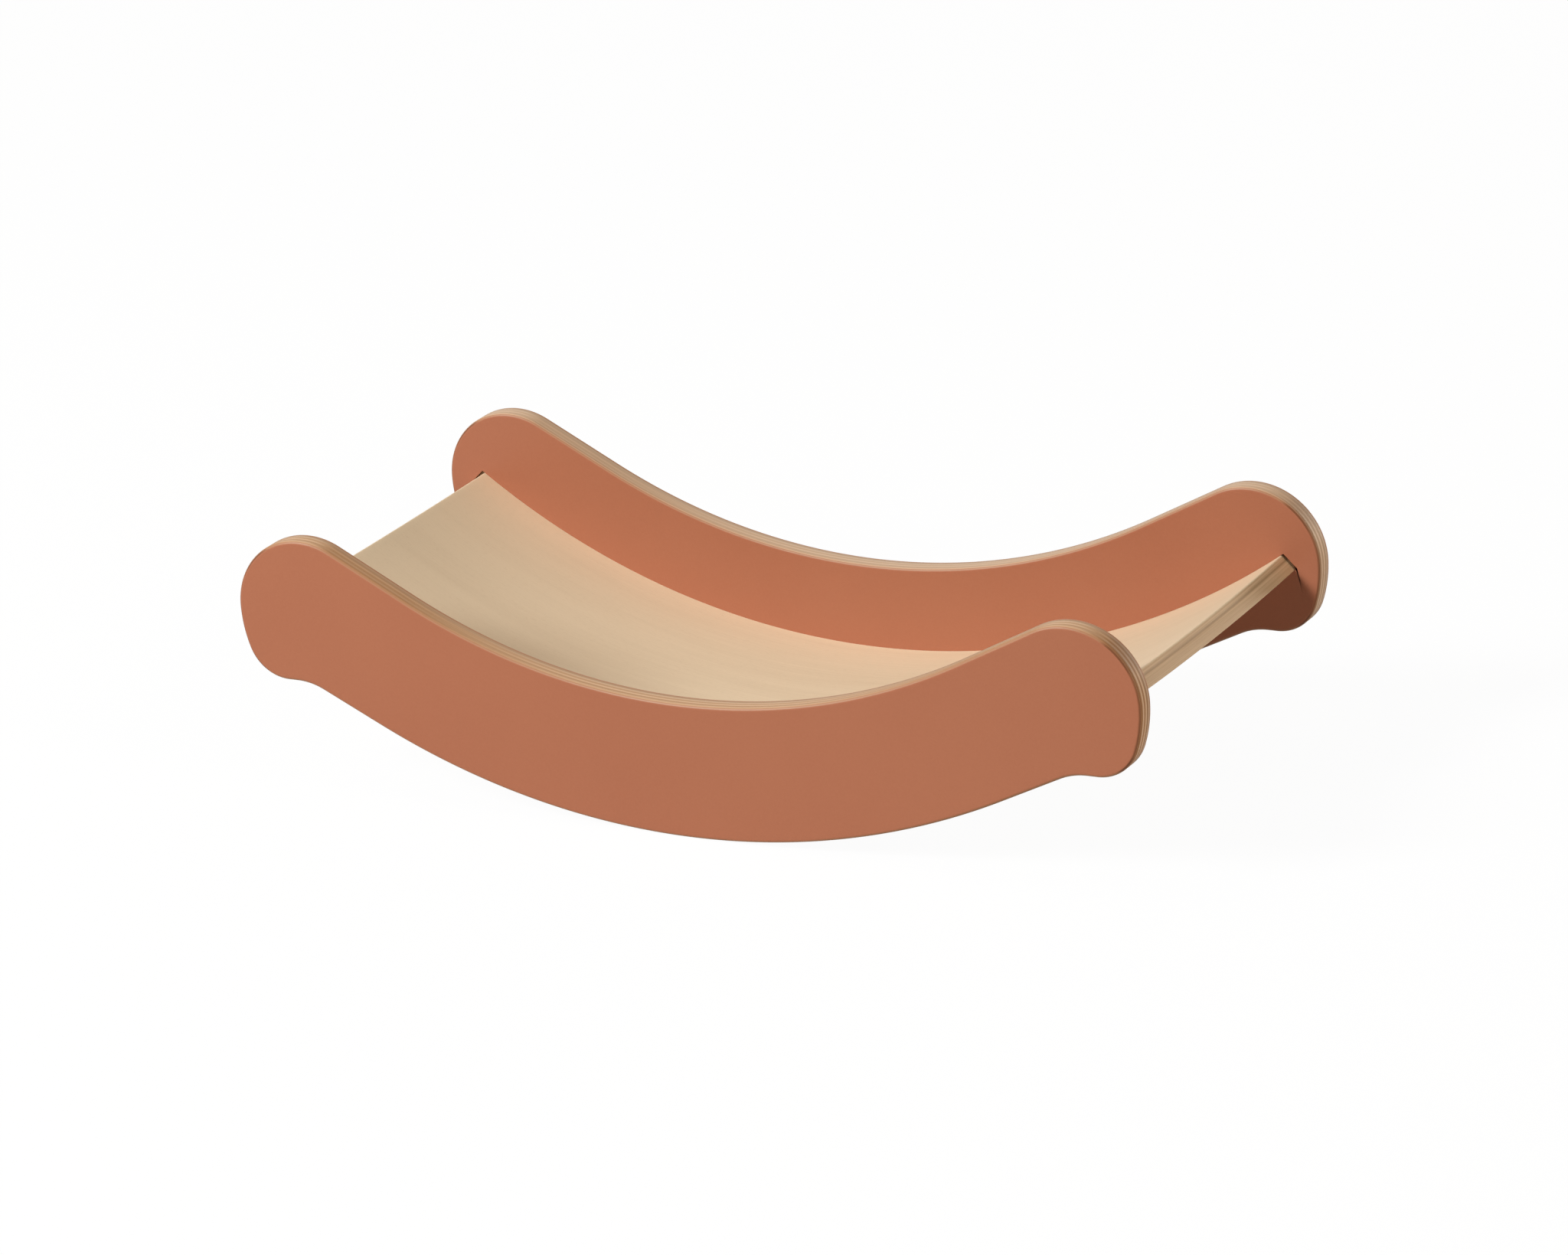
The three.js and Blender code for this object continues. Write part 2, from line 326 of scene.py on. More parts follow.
def groove_line(panel_line, depth):
    """Half of the groove's border: from the middle of its right end to a corner, along an arc at this
    depth, and back to the middle of its left end. Along the arc the angle follows the length that the
    panel's line has run, so that the points face each other. On the way up an end the points share a few
    even steps, at which the rows of the groove's floor end."""
    depths = np.array([-glue_squeeze_gap, deck_thickness + glue_squeeze_gap])
    reach = deck_angle_at(depths) + groove_end_clearance / (deck_radius + depths)
    end_middle = bent_place(reach, depths).mean(axis=0)
    half_angle = deck_angle_at(depth) + groove_end_clearance / (deck_radius + depth)
    run = np.concatenate([[0.0], np.cumsum(np.linalg.norm(np.diff(panel_line[0], axis=0), axis=1))])
    inner_run = run[end_columns:-end_columns]
    share = (inner_run - inner_run[0]) / (inner_run[-1] - inner_run[0])
    along = bent_place(half_angle * (1 - 2 * share), depth)
    climb = np.round(np.arange(end_columns) / end_columns * end_steps)[:, None] / end_steps
    rising = end_middle + climb * (along[0] - end_middle)
    return np.concatenate([rising, along, rising[::-1] * np.array([-1.0, 1.0])])


groove_upper = groove_line(upper_line, -glue_squeeze_gap)
groove_lower = groove_line(lower_line, deck_thickness + glue_squeeze_gap)
print("groove border:", len(groove_upper), "and", len(groove_lower), "points")

# %% [markdown]
# Laminate sheets
#
# A sheet of coloured laminate is glued on each face of a panel, and the panel's edges are then rounded
# over, through the laminate and into the wood. It could be done with a bevel on the whole panel, but a
# panel is three pieces here. So the quarter round is one formula of the turn round the edge, and each
# piece takes its own part of it: the laminate the part near the face, and the core the rest. Smooth
# shading would carry the round a little way into the flat face, so a narrow flat ring lies between them
# and takes that up.

# %% Patches that the panel's pieces share
round_steps = 6
face_rows = 8
flat_ring = 0.0012
rim_round = 0.0025
glue_turn = np.arcsin(1 - laminate_thickness / rim_round)


def rim(side, profile):
    """Patches of a rim: the panel's upper and lower lines, moved in and across by each step of a profile
    of insets and places across."""
    return [
        np.stack([on_board(inset_line(line, inset), side * place) for inset, place in profile])
        for line in (upper_line, lower_line)
    ]


def quarter_round(from_turn, to_turn, face_place, inward):
    """Steps along the quarter round of a panel's edge. At a turn t the rim is drawn in by the radius
    times 1 - cos t, and lies the radius times 1 - sin t below the face. Inward is the sign of the
    direction across the board from that face into the panel."""
    turn = np.linspace(from_turn, to_turn, round_steps + 1)
    places = face_place + inward * rim_round * (1 - np.sin(turn))
    return list(zip(rim_round * (1 - np.cos(turn)), places))


def whole_face(side, place, inset):
    """A flat face from the panel's upper line to its lower line."""
    upper, lower = [on_board(inset_line(line, inset), side * place) for line in (upper_line, lower_line)]
    return [between(upper, lower, face_rows)]


def face_round_groove(side, place, inset):
    """A flat face from each line of the panel to the groove's border."""
    return [
        between(on_board(inset_line(line, inset), side * place), on_board(border, side * place), face_rows)
        for line, border in ((upper_line, groove_upper), (lower_line, groove_lower))
    ]


def groove_wall(side, from_place, to_place):
    """The groove's wall between two places across."""
    return [
        between(on_board(border, side * from_place), on_board(border, side * to_place), 1)
        for border in (groove_upper, groove_lower)
    ]


print("the laminate takes the last", round(90 - np.degrees(glue_turn)), "of the rounded edge's 90 degrees")

# %% The laminate sheets
glued_inset = rim_round * (1 - np.cos(glue_turn))


def outer_laminate(name, side):
    """A plate from the core's outer face to the board's side, with its part of the quarter round."""
    profile = quarter_round(glue_turn, quarter_turn, outer_face, -1)
    flat = [(rim_round, outer_face), (rim_round + flat_ring, outer_face)]
    return sew(name, [
        *rim(side, profile),
        *rim(side, flat),
        *whole_face(side, outer_face, rim_round + flat_ring),
        *whole_face(side, core_outer_face, glued_inset),
    ])


def inner_laminate(name, side):
    """The same plate on the inner face, with the groove's opening through it."""
    profile = quarter_round(glue_turn, quarter_turn, inner_face, 1)
    flat = [(rim_round, inner_face), (rim_round + flat_ring, inner_face)]
    return sew(name, [
        *rim(side, profile),
        *rim(side, flat),
        *face_round_groove(side, inner_face, rim_round + flat_ring),
        *groove_wall(side, inner_face, core_inner_face),
        *face_round_groove(side, core_inner_face, glued_inset),
    ])


sides = {"right": -1, "left": 1}
outer_sheets = {name: outer_laminate(f"{name}_outer_facing", side) for name, side in sides.items()}
inner_sheets = {name: inner_laminate(f"{name}_inner_facing", side) for name, side in sides.items()}

# %% [markdown]
# Plywood cores
#
# Between the laminates lies the plywood, and its edge is what shows as the light stripe round each
# panel. The groove is blind, so the core needs a floor under it as well as walls. A boolean cut would
# leave long thin triangles; sewing the floor as a grid of its own keeps the shell clean.

# %% The plywood cores
core_rim_rows = 8


def groove_floor_patch(side):
    """The groove's floor: the band between its two arcs, with as many rows as its ends have steps."""
    arcs = [border[end_columns:-end_columns] for border in (groove_upper, groove_lower)]
    upper, lower = [on_board(points, side * groove_floor) for points in arcs]
    return [between(upper, lower, 2 * end_steps)]


def plywood_core(name, side):
    """The rim between the two laminates, its part of the two quarter rounds, the two glued faces, and
    the groove."""
    places = np.linspace(inner_face + rim_round, outer_face - rim_round, core_rim_rows + 1)
    return sew(name, [
        *rim(side, quarter_round(glue_turn, 0.0, inner_face, 1)),
        *rim(side, [(0.0, place) for place in places]),
        *rim(side, quarter_round(0.0, glue_turn, outer_face, -1)),
        *whole_face(side, core_outer_face, glued_inset),
        *face_round_groove(side, core_inner_face, glued_inset),
        *groove_wall(side, core_inner_face, groove_floor),
        *groove_floor_patch(side),
    ])


cores = {name: plywood_core(f"{name}_ply_core", side) for name, side in sides.items()}

# %% [markdown]
# The bent deck
#
# The deck is a thin sheet glued on a thick one, both pressed to the same bend, and its ends are sanded
# round. Plywood seldom leaves the press quite true: between the panels this deck sags a little more the
# nearer it is to its ends. A straight board could be bent by a modifier, which would need its own helper
# object. Working the bend and the sag into the formula is plainer: each point has an angle along the
# bend and a depth below the top.

# %% The deck's sheets
deck_columns = 180
deck_rows = 44
deck_sag = 0.0024


def sag_at(angle, across):
    """How much deeper a point of the deck lies than its true bend: the sag times the square of the
    angle's share of the half angle, times 1 less the square of the share of the way from the board's
    middle to a panel's inner face, and nothing inside the grooves."""
    return deck_sag * (angle / deck_half_angle) ** 2 * np.clip(1 - (across / inner_face) ** 2, 0.0, None)


def sheet_line(face_depth, inward, rounding):
    """Half of a sheet's section along the bend: from the flat of its right end, round the corner, along
    the face at this depth, and round to the left end, as angles and depths. Inward is 1 where the sheet
    lies below that face and -1 where it lies above. In the corner the depth nears the face by 1 - sin t
    of the rounding, and the line draws back from the end by 1 - cos t of it."""
    turn = np.linspace(0.0, quarter_turn, round_steps + 1)
    depth = face_depth + inward * rounding * (1 - np.sin(turn))
    angle = deck_angle_at(depth) - rounding * (1 - np.cos(turn)) / (deck_radius + depth)
    along = np.linspace(angle[-1], -angle[-1], deck_columns + 1)[1:-1]
    angles = np.concatenate([angle, along, -angle[::-1]])
    depths = np.concatenate([depth, np.full(len(along), face_depth), depth[::-1]])
    return angles, depths


def deck_sheet(name, top_depth, bottom_depth, top_rounding, bottom_rounding):
    """A bent sheet: its section's upper and lower halves drawn across the board, with its two ends and
    its two long sides closed."""
    places = np.linspace(-deck_half_width, deck_half_width, deck_rows + 1)
    halves = [sheet_line(top_depth, 1, top_rounding), sheet_line(bottom_depth, -1, bottom_rounding)]
    upper, lower = [
        np.stack([on_board(bent_place(angles, depths + sag_at(angles, place)), place) for place in places])
        for angles, depths in halves
    ]
    ends = [between(upper[:, column], lower[:, column], 1) for column in (0, -1)]
    long_sides = [between(upper[row], lower[row], 1) for row in (0, -1)]
    return sew(name, [upper, lower, *ends, *long_sides])


end_rounding = 0.0010
glue_edge_rounding = 0.00005
glue_depth = top_sheet_thickness + glue_line / 2
glued_gap = 0.00001
upper_bend = deck_sheet("deck_upper_bend", 0.0, glue_depth - glued_gap, end_rounding, glue_edge_rounding)
lower_bend = deck_sheet("deck_lower_bend", glue_depth + glued_gap, deck_thickness,
                        glue_edge_rounding, end_rounding)

# %% [markdown]
# Finishes from nodes
#
# Every surface gets its colour, its gloss and its fine relief from shader nodes. Pictures of real wood
# would be quicker, but they stretch on bends and repeat. Noise that is pulled long in one direction makes
# fibres of any length, and it fills the wood in depth, so that every cut through it fits its neighbours.

# %% Nodes and arithmetic
def add_node(tree, kind, inputs=None, **options):
    """Adds a node, sets its options, and fills its inputs with values or with other nodes' outputs."""
    made = tree.nodes.new(kind)
    for option, value in options.items():
        setattr(made, option, value)
    for key, value in (inputs or {}).items():
        if isinstance(value, bpy.types.NodeSocket):
            tree.links.new(value, made.inputs[key])
        else:
            made.inputs[key].default_value = value
    return made


def reckon(tree, operation, *values):
    """One step of arithmetic on single numbers."""
    return add_node(tree, "ShaderNodeMath", dict(enumerate(values)), operation=operation).outputs[0]


def weighted_sum(tree, outputs, weights):
    """The sum of several outputs, each times its own weight."""
    total = reckon(tree, "MULTIPLY", outputs[0], weights[0])
    for output, weight in zip(outputs[1:], weights[1:]):
        total = reckon(tree, "ADD", total, reckon(tree, "MULTIPLY", output, weight))
    return total


def ramp_between(tree, value, low, high, low_result=0.0, high_result=1.0):
    """A soft step: low_result below low, high_result above high, and an S-shaped rise between."""
    inputs = {"Value": value, "From Min": low, "From Max": high, "To Min": low_result, "To Max": high_result}
    made = add_node(tree, "ShaderNodeMapRange", inputs, interpolation_type="SMOOTHSTEP")
    return made.outputs["Result"]


print("helpers for nodes and arithmetic are ready")

# %% Noise and mixtures
def noise(tree, place, scale=1.0, detail=2.0, distortion=0.0):
    """Soft noise between 0 and 1, about 0.5 on average."""
    inputs = {"Vector": place, "Scale": scale, "Detail": detail, "Distortion": distortion}
    return add_node(tree, "ShaderNodeTexNoise", inputs).outputs["Fac"]


def pulled_noise(tree, place, scales, detail=2.0, distortion=0.0):
    """Noise scaled apart in its three directions. The smaller a scale, the longer the noise runs."""
    stretched = add_node(tree, "ShaderNodeMapping", {"Vector": place, "Scale": scales}).outputs["Vector"]
    return noise(tree, stretched, 1.0, detail, distortion)


def mixed_number(tree, share, first, second):
    """The first number where the share is 0, the second where it is 1."""
    return add_node(tree, "ShaderNodeMix", {0: share, 2: first, 3: second}).outputs[0]


def mixed_colour(tree, share, first, second):
    """The first colour where the share is 0, the second where it is 1."""
    made = add_node(tree, "ShaderNodeMix", data_type="RGBA")
    colour_inputs = [socket for socket in made.inputs if socket.type == "RGBA"]
    for socket, value in zip([made.inputs[0], *colour_inputs], (share, first, second)):
        if isinstance(value, bpy.types.NodeSocket):
            tree.links.new(value, socket)
        else:
            socket.default_value = value
    return next(output for output in made.outputs if output.type == "RGBA")


full_value = 255
curve_start = 0.04045
dark_divisor = 12.92
curve_shift = 0.055
curve_power = 2.4


def colour(red, green, blue):
    """A colour as an image program shows it, from 0 to 255, as the linear light that a shader needs. A
    dark share of the full value is divided by the divisor. Any other share is raised by the shift,
    divided by 1 plus the shift, and taken to the power."""
    shown = np.array([red, green, blue]) / full_value
    curved = ((shown + curve_shift) / (1 + curve_shift)) ** curve_power
    linear = np.where(shown <= curve_start, shown / dark_divisor, curved)
    return (*linear.tolist(), 1.0)


print("a shown grey of 128 is a linear light of", round(colour(128, 128, 128)[0], 3))

# %% A finish and its surface
def new_finish(name):
    """A new material made of nodes, its node tree and the shader that Blender puts in it."""
    finish = bpy.data.materials.new(name)
    finish.use_nodes = True
    return finish, finish.node_tree, finish.node_tree.nodes["Principled BSDF"]


def dress(tree, shader, base_colour, roughness, height, relief):
    """Gives a shader its colour, its roughness and a bump whose full height is the relief in metres."""
    bump = add_node(tree, "ShaderNodeBump", {"Height": height, "Strength": 1.0, "Distance": relief})
    tree.links.new(base_colour, shader.inputs["Base Color"])
    tree.links.new(roughness, shader.inputs["Roughness"])
    tree.links.new(bump.outputs["Normal"], shader.inputs["Normal"])


print("helpers for finishes are ready")

# %% [markdown]
# Terracotta laminate
#
# The laminate is a coloured skin on a brown backing. Its face is satin, with a fine pearly texture, and
# where the edge is rounded over the skin ends and the backing shows as a thin line. That line carries
# painted light: a painted highlight makes it paler where the rim lies nearly level, and painted shade
# makes it darkest where the rim slopes at about 45 degrees. So the surface's direction sets the
# line's tone. The depth below the shown face tells skin from backing: both sheets of a panel lie as far
# from the panel's middle, so one formula serves all four.

# %% Level, steep and half-way rims
level_share = 0.45
steep_share = 0.65
# Rims that slope near 45 degrees get painted shade.
slope_shade_range = (0.38, 0.48)


def rim_slant(tree, facing):
    """How far a rim has turned from level to steep, and how near it then is to a slope of 45 degrees. The
    first rises with the direction's X over the common length of its X and Z, so that a rounded edge
    counts as the rim next to it. The second rises with the product of X and Z over that length squared,
    which is greatest at 45 degrees, and is multiplied by the first."""
    along = reckon(tree, "ABSOLUTE", facing.outputs["X"])
    up = reckon(tree, "ABSOLUTE", facing.outputs["Z"])
    square = reckon(tree, "ADD", reckon(tree, "MULTIPLY", along, along), reckon(tree, "MULTIPLY", up, up))
    along_share = reckon(tree, "DIVIDE", along, reckon(tree, "SQRT", square))
    slant = ramp_between(tree, along_share, level_share, steep_share)
    product = reckon(tree, "DIVIDE", reckon(tree, "MULTIPLY", along, up), square)
    half_way = reckon(tree, "MULTIPLY", slant, ramp_between(tree, product, *slope_shade_range))
    return slant, half_way


level_slope, steep_slope = np.degrees(np.arcsin([level_share, steep_share])).round()
print("a rim is level up to a slope of", level_slope, "degrees and steep from", steep_slope)

# %% Laminate finish
terracotta_light = colour(177, 114, 85)
terracotta_dark = colour(166, 101, 74)
edge_backing = colour(146, 93, 62)
# Painted highlight for level rims and painted shade for 45-degree slopes, on the backing line.
edge_backing_painted_highlight = colour(168, 119, 86)
edge_backing_painted_shade = colour(122, 74, 44)
skin_thinnest = 0.000096
skin_thickest = 0.000156
cloud_scale = 6.0
fleck_scale = 700.0
speck_scale = 2600.0
face_weights = (0.6, 0.4)
pearl_weights = (0.6, 0.4)
cloud_range = (0.2, 0.8)
satin_roughness = (0.38, 0.46)
satin_specular = 0.30
pearl_relief = 0.00005


def laminate_finish():
    """Clouds and flecks mix the face's two tones, and the backing takes over below the skin."""
    finish, tree, shader = new_finish("terracotta_laminate_finish")
    coordinates = add_node(tree, "ShaderNodeTexCoord")
    place = coordinates.outputs["Object"]
    facing = add_node(tree, "ShaderNodeSeparateXYZ", {"Vector": coordinates.outputs["Normal"]})
    across = add_node(tree, "ShaderNodeSeparateXYZ", {"Vector": place}).outputs["Y"]
    from_middle = reckon(tree, "SUBTRACT", reckon(tree, "ABSOLUTE", across), panel_middle)
    depth = reckon(tree, "SUBTRACT", panel_thickness / 2, reckon(tree, "ABSOLUTE", from_middle))

    cloud = noise(tree, place, cloud_scale, detail=3.0)
    fleck = noise(tree, place, fleck_scale)
    speck = noise(tree, place, speck_scale, detail=1.0)
    tone = weighted_sum(tree, (cloud, fleck), face_weights)
    face = mixed_colour(tree, tone, terracotta_dark, terracotta_light)
    backing_share = ramp_between(tree, depth, skin_thinnest, skin_thickest)
    # The backing line is paler on level rims as a painted highlight and darker at 45 degrees as painted
    # shade.
    slant, painted_slope_shade = rim_slant(tree, facing)
    backing = mixed_colour(tree, slant, edge_backing_painted_highlight, edge_backing)
    backing = mixed_colour(tree, painted_slope_shade, backing, edge_backing_painted_shade)
    whole = mixed_colour(tree, backing_share, face, backing)

    pearl = weighted_sum(tree, (fleck, speck), pearl_weights)
    roughness = ramp_between(tree, cloud, *cloud_range, *satin_roughness)
    shader.inputs["Specular IOR Level"].default_value = satin_specular
    dress(tree, shader, whole, roughness, pearl, pearl_relief)
    return finish


laminate = laminate_finish()
print(laminate.name, "has", len(laminate.node_tree.nodes), "nodes")

# %% [markdown]
# Plywood edges
#
# The core is sheets of veneer whose fibres run along the board and upright in turn. Seen along its
# fibres a sheet is pale and streaked, and seen on its fibres' ends it is darker and dotted with pores, so
# the same sheet changes its tone round the outline. Painting stripes would miss that. Here each sheet
# knows its fibres' direction, and the surface's direction tells how much of their ends shows. The upright
# sheets are of a lighter wood.

# %% Plies and their joints
ply_count = 7
core_thickness = core_outer_face - core_inner_face
ply_thickness = core_thickness / ply_count


def every_second(tree, number):
    """1 for plies with an odd number and 0 for the others."""
    return reckon(tree, "MODULO", reckon(tree, "ABSOLUTE", number), 2.0)


def to_joint(tree, in_plies):
    """For a place counted in plies, how far the nearest joint between plies is, as a part of a ply."""
    part = reckon(tree, "FRACT", in_plies)
    return reckon(tree, "MINIMUM", part, reckon(tree, "SUBTRACT", 1.0, part))


print(ply_count, "plies of", round(ply_thickness * 1000, 2), "mm")

# %% Wood of the plies
long_grain = colour(221, 185, 149)
long_grain_dark = colour(203, 164, 126)
end_grain = colour(174, 124, 77)
end_grain_dark = colour(142, 95, 52)
streak_scales = (9, 900, 420)
pore_scales = (160, 3800, 3800)
ends_range = (0.12, 0.62)
pore_range = (0.35, 0.75)
upright_lightening = 0.45
dark_ply_share = 0.35
ply_weights = (0.6, 0.4)
half_ply = 0.5


def fibres(tree, place, along_scales, along_pore_scales):
    """Streaks and pores of one kind of ply: soft noise pulled long along its fibres, and a finer one."""
    streaks = pulled_noise(tree, place, along_scales, detail=3.0, distortion=0.3)
    pores = pulled_noise(tree, place, along_pore_scales, detail=1.0)
    return streaks, pores


def ply_wood(tree, place, facing, number, upright):
    """The plies' colour, with the streaks, the pores and the share of fibre ends behind it. That share
    rises with the part of the surface's direction that lies along the fibres. Each ply's own tone comes
    from its number."""
    along_streaks, along_pores = fibres(tree, place, streak_scales, pore_scales)
    upright_streaks, upright_pores = fibres(tree, place, streak_scales[::-1], pore_scales[::-1])
    streaks = mixed_number(tree, upright, along_streaks, upright_streaks)
    pores = mixed_number(tree, upright, along_pores, upright_pores)
    towards = mixed_number(tree, upright, facing.outputs["X"], facing.outputs["Z"])
    ends_show = ramp_between(tree, reckon(tree, "ABSOLUTE", towards), *ends_range)
    darkness = reckon(tree, "SUBTRACT", 1.0, reckon(tree, "MULTIPLY", upright, upright_lightening))
    ends_show = reckon(tree, "MULTIPLY", ends_show, darkness)

    ply_tone = add_node(tree, "ShaderNodeTexWhiteNoise", {"W": reckon(tree, "ADD", number, half_ply)},
                        noise_dimensions="1D").outputs["Value"]
    tone = weighted_sum(tree, (streaks, ply_tone), ply_weights)
    pale = mixed_colour(tree, tone, long_grain, long_grain_dark)
    dark = mixed_colour(tree, ramp_between(tree, pores, *pore_range), end_grain, end_grain_dark)
    dark = mixed_colour(tree, reckon(tree, "MULTIPLY", ply_tone, dark_ply_share), dark, end_grain_dark)
    return mixed_colour(tree, ends_show, pale, dark), streaks, pores, ends_show


print("fibres run", streak_scales[1] // streak_scales[0], "times as long as they are wide")

# %% [markdown]
# Tints of the wood
#
# Over the plies lie broader tints. The left panel comes from a paler board than the right one, as panels
# often do. In each panel painted shade turns the wood greyer towards the left face, the one on the +Y side.
# The veneer under that face's laminate is painted much darker than the rest as shade, and the one under the
# right face is a little darker. Painted shade also darkens the rim slightly where it slopes at about 45
# degrees. Each tint could be a colour of its own ply, but mixing them over the plies lets them fade.

# %% Tints over the plies
pale_board = colour(232, 210, 186)
pale_board_share = 0.30
between_panels = 0.01
# Painted shade towards the +Y face: greyer wood and a much darker left veneer.
painted_shade_grey = colour(150, 138, 122)
painted_shade_grey_share = 0.30
painted_shade_grey_range = (-0.001, 0.006)
# Painted shade on rims that slope near 45 degrees.
painted_slope_shade_wood = colour(104, 62, 28)
slope_shade_share = 0.22
face_veneer_and_painted_shade = colour(166, 112, 76)
right_veneer_share = 0.24
right_veneer_fade = 0.0003
left_veneer_painted_shade_share = 0.80
left_veneer_painted_shade_fade = (0.0008, 0.0006)


def tinted_wood(tree, wood, across, facing):
    """The wood with its tints. Each is mixed in by a share that fades in or out across the board, and the
    painted slope shade by how near the rim is to a slope of 45 degrees."""
    pale_share = ramp_between(tree, across, -between_panels, between_panels, 0.0, pale_board_share)
    wood = mixed_colour(tree, pale_share, wood, pale_board)
    own_middle = reckon(tree, "MULTIPLY", reckon(tree, "SIGN", across), panel_middle)
    from_middle = reckon(tree, "SUBTRACT", across, own_middle)
    # Painted shade greys the wood towards the +Y face.
    painted_shade_greyness = ramp_between(tree, from_middle, *painted_shade_grey_range, 0.0, painted_shade_grey_share)
    wood = mixed_colour(tree, painted_shade_greyness, wood, painted_shade_grey)
    # Painted shade darkens rims that slope at about 45 degrees.
    painted_slope_shade = reckon(tree, "MULTIPLY", rim_slant(tree, facing)[1], slope_shade_share)
    wood = mixed_colour(tree, painted_slope_shade, wood, painted_slope_shade_wood)

    last_joint = core_thickness / 2 - ply_thickness
    right_share = ramp_between(tree, from_middle, -last_joint - right_veneer_fade,
                               -last_joint + right_veneer_fade, right_veneer_share, 0.0)
    # The left veneer's darkening is painted shade.
    left_painted_shade_share = ramp_between(tree, from_middle, last_joint - left_veneer_painted_shade_fade[0],
                              last_joint + left_veneer_painted_shade_fade[1], 0.0, left_veneer_painted_shade_share)
    return mixed_colour(tree, reckon(tree, "ADD", right_share, left_painted_shade_share), wood, face_veneer_and_painted_shade)


# The scorched rim and the grey wood named in this text are painted shade.
print("tints for the pale board, the grey wood, the scorched rim and the face veneers are ready")

# %% Plywood edge finish
ply_glue = colour(128, 88, 54)
ply_glue_share = 0.16
glue_width = 0.00035
wander_scales = (14, 3, 14)
wander_reach = 0.0005
edge_roughness = (0.46, 0.62)
edge_specular = 0.30
edge_relief = 0.00006


def plywood_finish():
    """Plies counted from the core's inner face, whose joints wander a little, with their glue lines."""
    finish, tree, shader = new_finish("plywood_edge_finish")
    coordinates = add_node(tree, "ShaderNodeTexCoord")
    place = coordinates.outputs["Object"]
    across = add_node(tree, "ShaderNodeSeparateXYZ", {"Vector": place}).outputs["Y"]
    facing = add_node(tree, "ShaderNodeSeparateXYZ", {"Vector": coordinates.outputs["Normal"]})

    from_inner = reckon(tree, "SUBTRACT", reckon(tree, "ABSOLUTE", across), core_inner_face)
    wander = reckon(tree, "MULTIPLY", pulled_noise(tree, place, wander_scales, detail=1.0), wander_reach)
    in_plies = reckon(tree, "DIVIDE", reckon(tree, "ADD", from_inner, wander), ply_thickness)
    number = reckon(tree, "FLOOR", in_plies)
    upright = every_second(tree, number)
    glue_reach = glue_width / ply_thickness
    glue = ramp_between(tree, to_joint(tree, in_plies), 0.0, glue_reach, ply_glue_share, 0.0)
    wood, streaks, pores, ends_show = ply_wood(tree, place, facing, number, upright)
    whole = mixed_colour(tree, glue, tinted_wood(tree, wood, across, facing), ply_glue)

    shader.inputs["Specular IOR Level"].default_value = edge_specular
    roughness = ramp_between(tree, ends_show, 0.0, 1.0, *edge_roughness)
    height = reckon(tree, "SUBTRACT", reckon(tree, "ADD", streaks, pores), glue)
    dress(tree, shader, whole, roughness, height, edge_relief)
    return finish


plywood = plywood_finish()
print(plywood.name, "has", len(plywood.node_tree.nodes), "nodes")

# %% [markdown]
# Deck plywood
#
# The deck's top is a pale veneer with its grain along the board under a thin satin lacquer, and painted
# shade makes it a little darker towards its right end. The deck's ends show the plies on edge. A grain on
# plain X, Y and Z would be squeezed where the deck climbs, so each point carries its place on the bend:
# how far it is along it, across it, and below the top face.

# %% Places on the bend
bend_attribute = "bend_place"


def note_bend_place(piece):
    """Stores for each point its distance along the bend, its place across, and its depth. The distance
    is the deck's radius times the angle from the middle, and the depth is what the point's own radius
    has more than the deck's, less the sag."""
    mesh = piece.data
    flat = np.empty(3 * len(mesh.vertices))
    mesh.vertices.foreach_get("co", flat)
    points = flat.reshape(-1, 3)
    below_centre = deck_centre_height - points[:, 2]
    angle = np.arctan2(points[:, 0], below_centre)
    along = deck_radius * angle
    depth = np.hypot(points[:, 0], below_centre) - deck_radius - sag_at(angle, points[:, 1])
    place = np.stack([along, points[:, 1], depth], axis=1)
    attribute = mesh.attributes.new(bend_attribute, "FLOAT_VECTOR", "POINT")
    attribute.data.foreach_set("vector", place.ravel())
    print(piece.name, "runs", round(np.ptp(along), 4), "along its bend")


note_bend_place(upper_bend)
note_bend_place(lower_bend)

# %% Deck veneer
veneer_light = colour(235, 214, 183)
veneer_dark = colour(217, 194, 163)
veneer_line = colour(190, 158, 120)
veneer_cloud_scales = (2.2, 16, 60)
veneer_band_scales = (5, 110, 60)
veneer_grain_scales = (14, 900, 900)
veneer_pore_scales = (190, 3600, 3600)
painted_shade_drift = 0.75
figure_weights = (0.55, 0.22, 0.23)
figure_range = (0.12, 0.88)
line_range = (0.60, 0.82)
line_strength = 0.5


def deck_veneer(tree, place, along):
    """The veneer's colour, with the grain and the pores behind it. Its tone is a weighted sum of clouds,
    bands and grain, plus painted shade: the drift times the distance along the bend, darker towards the
    right end."""
    cloud = pulled_noise(tree, place, veneer_cloud_scales, distortion=0.8)
    bands = pulled_noise(tree, place, veneer_band_scales, detail=3.0, distortion=0.5)
    grain = pulled_noise(tree, place, veneer_grain_scales, distortion=0.2)
    pores = pulled_noise(tree, place, veneer_pore_scales, detail=1.0)
    figure = weighted_sum(tree, (cloud, bands, grain), figure_weights)
    # Painted shade: the drift darkens the veneer towards the deck's right end.
    shade_drift = reckon(tree, "MULTIPLY", along, painted_shade_drift)
    figure = ramp_between(tree, reckon(tree, "ADD", figure, shade_drift), *figure_range)
    veneer = mixed_colour(tree, figure, veneer_light, veneer_dark)
    line_share = reckon(tree, "MULTIPLY", ramp_between(tree, pores, *line_range), line_strength)
    return mixed_colour(tree, line_share, veneer, veneer_line), grain, pores


print("the tone drifts by", round(painted_shade_drift * 2 * deck_half_span, 2), "from end to end")

